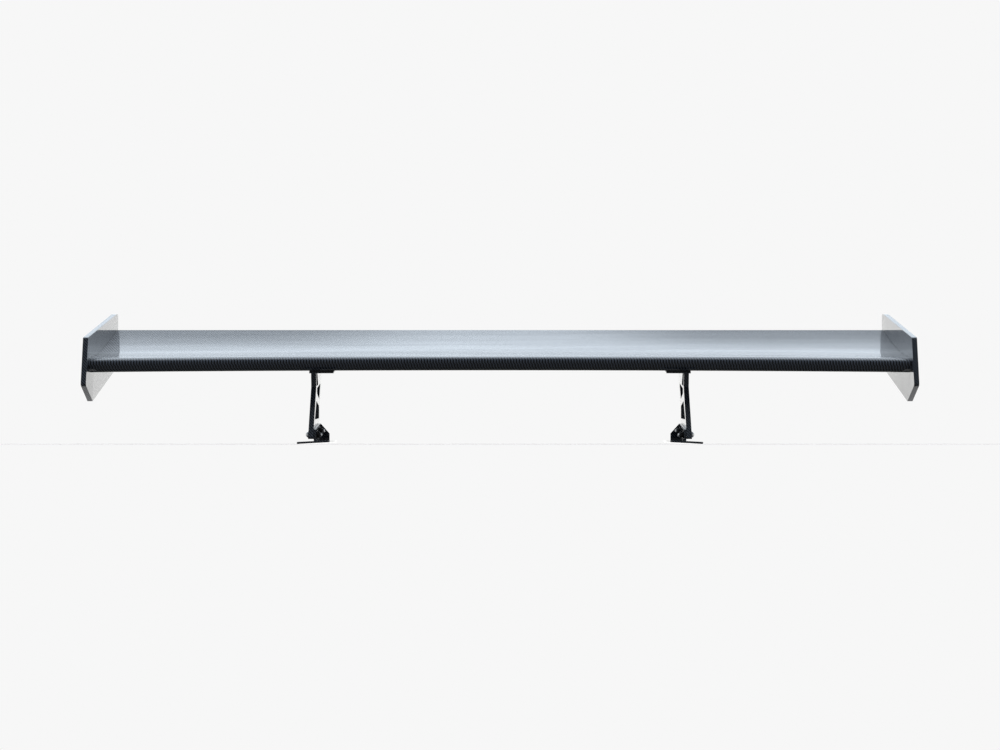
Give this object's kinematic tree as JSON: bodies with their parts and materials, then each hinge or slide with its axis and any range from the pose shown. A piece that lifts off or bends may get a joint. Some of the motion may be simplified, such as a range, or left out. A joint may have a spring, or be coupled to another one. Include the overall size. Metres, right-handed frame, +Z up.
{
  "type": "racing rear wing",
  "caption": "Hollow carbon rear wing between two angular endplates, on two truss uprights clamped to rolled feet, with adjustable angle.",
  "frame": {"origin": "below the middle of the wing, on the surface that the feet stand on, at the centre of the bounding box", "axes": "+X across the car to its left side, -Y to the front of the car, +Z up"},
  "size_m": [1.6, 0.2997, 0.2679],
  "materials": {
    "carbon_gloss": "2x2 twill carbon under clear gloss lacquer",
    "carbon_matt": "bare carbon laminate, unlacquered",
    "rib_foam": "rigid structural foam",
    "hardpoint_alloy": "machined aluminium",
    "stainless": "stainless steel",
    "black_steel": "black zinc on steel",
    "pad_rubber": "matt rubber sheet"
  },
  "bodies": {
    "feet": {"foot_bracket_left": "carbon_gloss", "pivot_bolt_left": "stainless", "pivot_inner_washer_left": "black_steel", "pivot_outer_washer_left": "stainless", "pivot_nut_left": "black_steel", "adjuster_bolt_left": "stainless", "adjuster_inner_washer_left": "black_steel", "adjuster_outer_washer_left": "stainless", "adjuster_nut_left": "black_steel", "foot_bracket_right": "carbon_gloss", "pivot_bolt_right": "stainless", "pivot_inner_washer_right": "black_steel", "pivot_outer_washer_right": "stainless", "pivot_nut_right": "black_steel", "adjuster_bolt_right": "stainless", "adjuster_inner_washer_right": "black_steel", "adjuster_outer_washer_right": "stainless", "adjuster_nut_right": "black_steel"},
    "wing": {"wing_upper_skin": "carbon_gloss", "wing_lower_skin": "carbon_gloss", "front_spar": "carbon_matt", "rear_spar": "carbon_matt", "end_rib_left": "rib_foam", "hardpoint_rib_left": "hardpoint_alloy", "endplate_left": "carbon_gloss", "endplate_screw_1_left": "stainless", "endplate_screw_2_left": "stainless", "endplate_screw_3_left": "stainless", "wing_pad_left": "pad_rubber", "upright_left": "carbon_gloss", "mount_screw_front_left": "stainless", "mount_washer_front_left": "stainless", "mount_screw_rear_left": "stainless", "mount_washer_rear_left": "stainless", "end_rib_right": "rib_foam", "hardpoint_rib_right": "hardpoint_alloy", "endplate_right": "carbon_gloss", "endplate_screw_1_right": "stainless", "endplate_screw_2_right": "stainless", "endplate_screw_3_right": "stainless", "wing_pad_right": "pad_rubber", "upright_right": "carbon_gloss", "mount_screw_front_right": "stainless", "mount_washer_front_right": "stainless", "mount_screw_rear_right": "stainless", "mount_washer_rear_right": "stainless"}
  },
  "joints": [
    {"name": "wing_angle", "type": "hinge", "parent": "feet", "child": "wing", "pos_m": [0, -0.1, 0.018], "axis": [1, 0, 0], "range_deg": [-6, 6]}
  ]
}
